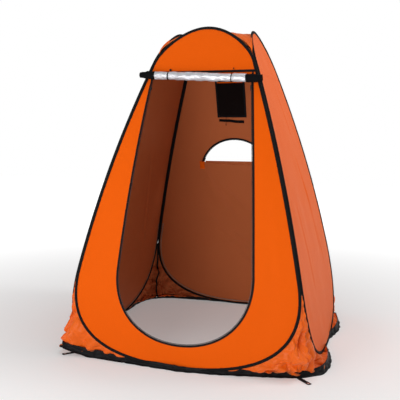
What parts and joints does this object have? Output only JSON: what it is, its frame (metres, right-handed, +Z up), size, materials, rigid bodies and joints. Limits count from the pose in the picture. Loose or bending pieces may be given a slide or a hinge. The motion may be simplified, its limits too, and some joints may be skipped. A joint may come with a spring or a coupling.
{
  "type": "pop-up shelter",
  "caption": "Free-standing pop-up shelter: bowed fabric walls on egg-shaped spring hoops, with a rolled-up door, rear half-moon window, covered mesh vent and ground skirt.",
  "frame": {"origin": "centre of the base, on the ground", "axes": "+Z up, the door faces -Y, +X to the right of someone facing the door"},
  "size_m": [1.476, 1.476, 1.9035],
  "materials": {
    "orange_cloth": "woven polyester with a dull coated inside",
    "black_binding": "woven polyester binding",
    "skirt_cloth": "coated black cloth",
    "webbing": "ribbed webbing",
    "spring_wire": "drawn wire",
    "eyelet_metal": "plated",
    "zip_tape": "fine ribbed tape",
    "zip_teeth": "moulded coil",
    "zip_metal": "black lacquer, worn at the edges",
    "silver_lining": "silver coated, semi-gloss",
    "toggle_plastic": "moulded",
    "mesh": "fine net"
  },
  "bodies": {
    "shelter": {"back_panel": "orange_cloth", "corner_tape_back_left": "black_binding", "corner_tape_back_right": "black_binding", "corner_tape_front_left": "black_binding", "corner_tape_front_right": "black_binding", "door_roll": "silver_lining", "door_roll_end_left": "black_binding", "door_roll_end_right": "black_binding", "door_tie_left": "black_binding", "door_tie_right": "black_binding", "door_top_tape": "black_binding", "door_zip_chain": "zip_teeth", "door_zip_tape": "zip_tape", "front_panel": "orange_cloth", "gusset_back_left": "orange_cloth", "gusset_back_right": "orange_cloth", "gusset_front_left": "orange_cloth", "gusset_front_right": "orange_cloth", "hoop_ferrules": "spring_wire", "hoop_sleeve_back": "black_binding", "hoop_sleeve_front": "black_binding", "hoop_sleeve_left": "black_binding", "hoop_sleeve_right": "black_binding", "hoop_wire_back": "spring_wire", "hoop_wire_front": "spring_wire", "hoop_wire_left": "spring_wire", "hoop_wire_right": "spring_wire", "left_panel": "orange_cloth", "peg_eyelets": "eyelet_metal", "peg_tab_back_left": "webbing", "peg_tab_back_right": "webbing", "peg_tab_front_left": "webbing", "peg_tab_front_right": "webbing", "right_panel": "orange_cloth", "roof_panel": "orange_cloth", "skirt_back": "skirt_cloth", "skirt_front": "skirt_cloth", "skirt_left": "skirt_cloth", "skirt_right": "skirt_cloth", "vent_binding": "black_binding", "vent_cord": "black_binding", "vent_cord_knot": "black_binding", "vent_mesh": "mesh", "vent_strip": "black_binding", "window_zip_chain": "zip_teeth", "window_zip_garage": "orange_cloth", "window_zip_tape": "zip_tape"},
    "door_slider_left": {"door_zip_slider_left": "zip_metal"},
    "door_slider_right": {"door_zip_slider_right": "zip_metal"},
    "door_puller_left": {"door_zip_pull_left": "zip_metal"},
    "door_puller_right": {"door_zip_pull_right": "zip_metal"},
    "window_slider": {"window_zip_slider": "zip_metal"},
    "window_puller": {"window_zip_pull": "zip_metal"},
    "window_cover": {"window_flap": "orange_cloth", "window_flap_edge": "black_binding"},
    "vent_flap": {"vent_cover": "orange_cloth"},
    "toggle_left": {"door_toggle_left": "toggle_plastic"},
    "toggle_right": {"door_toggle_right": "toggle_plastic"}
  },
  "joints": [
    {"name": "door_zip_left", "type": "hinge", "parent": "shelter", "child": "door_slider_left", "pos_m": [2.08891, 6.66786, -1.09753], "axis": [0.9479, -0.3185, 0.0092], "range_deg": [0, 7.41]},
    {"name": "door_zip_right", "type": "hinge", "parent": "shelter", "child": "door_slider_right", "pos_m": [-2.08891, 6.66786, -1.09753], "axis": [0.9479, 0.3185, -0.0092], "range_deg": [0, 7.41]},
    {"name": "door_pull_left", "type": "hinge", "parent": "door_slider_left", "child": "door_puller_left", "pos_m": [-0.30053, -0.36965, 1.54252], "axis": [0.9952, -0.0315, -0.0928], "range_deg": [-85, 0]},
    {"name": "door_pull_right", "type": "hinge", "parent": "door_slider_right", "child": "door_puller_right", "pos_m": [0.30053, -0.36965, 1.54252], "axis": [0.9952, 0.0315, 0.0928], "range_deg": [-85, 0]},
    {"name": "window_zip", "type": "hinge", "parent": "shelter", "child": "window_slider", "pos_m": [0, 0.52752, 1.00376], "axis": [0, 0.9609, 0.2769], "range_deg": [0, 130]},
    {"name": "window_pull", "type": "hinge", "parent": "window_slider", "child": "window_puller", "pos_m": [-0.2284, 0.50396, 1.10827], "axis": [-0.9063, -0.117, 0.4061], "range_deg": [-85, 0]},
    {"name": "window_fold", "type": "hinge", "parent": "shelter", "child": "window_cover", "pos_m": [0, 0.50836, 1.09191], "axis": [1, 0, 0], "range_deg": [0, 180]},
    {"name": "vent_lift", "type": "hinge", "parent": "shelter", "child": "vent_flap", "pos_m": [0, 0.31501, 1.68915], "axis": [1, 0, 0], "range_deg": [0, 75]},
    {"name": "toggle_swing_left", "type": "hinge", "parent": "shelter", "child": "toggle_left", "pos_m": [-0.19, -0.33345, 1.63483], "axis": [1, 0, 0], "range_deg": [-8, 30]},
    {"name": "toggle_swing_right", "type": "hinge", "parent": "shelter", "child": "toggle_right", "pos_m": [0.19, -0.33345, 1.63483], "axis": [1, 0, 0], "range_deg": [-8, 30]}
  ]
}
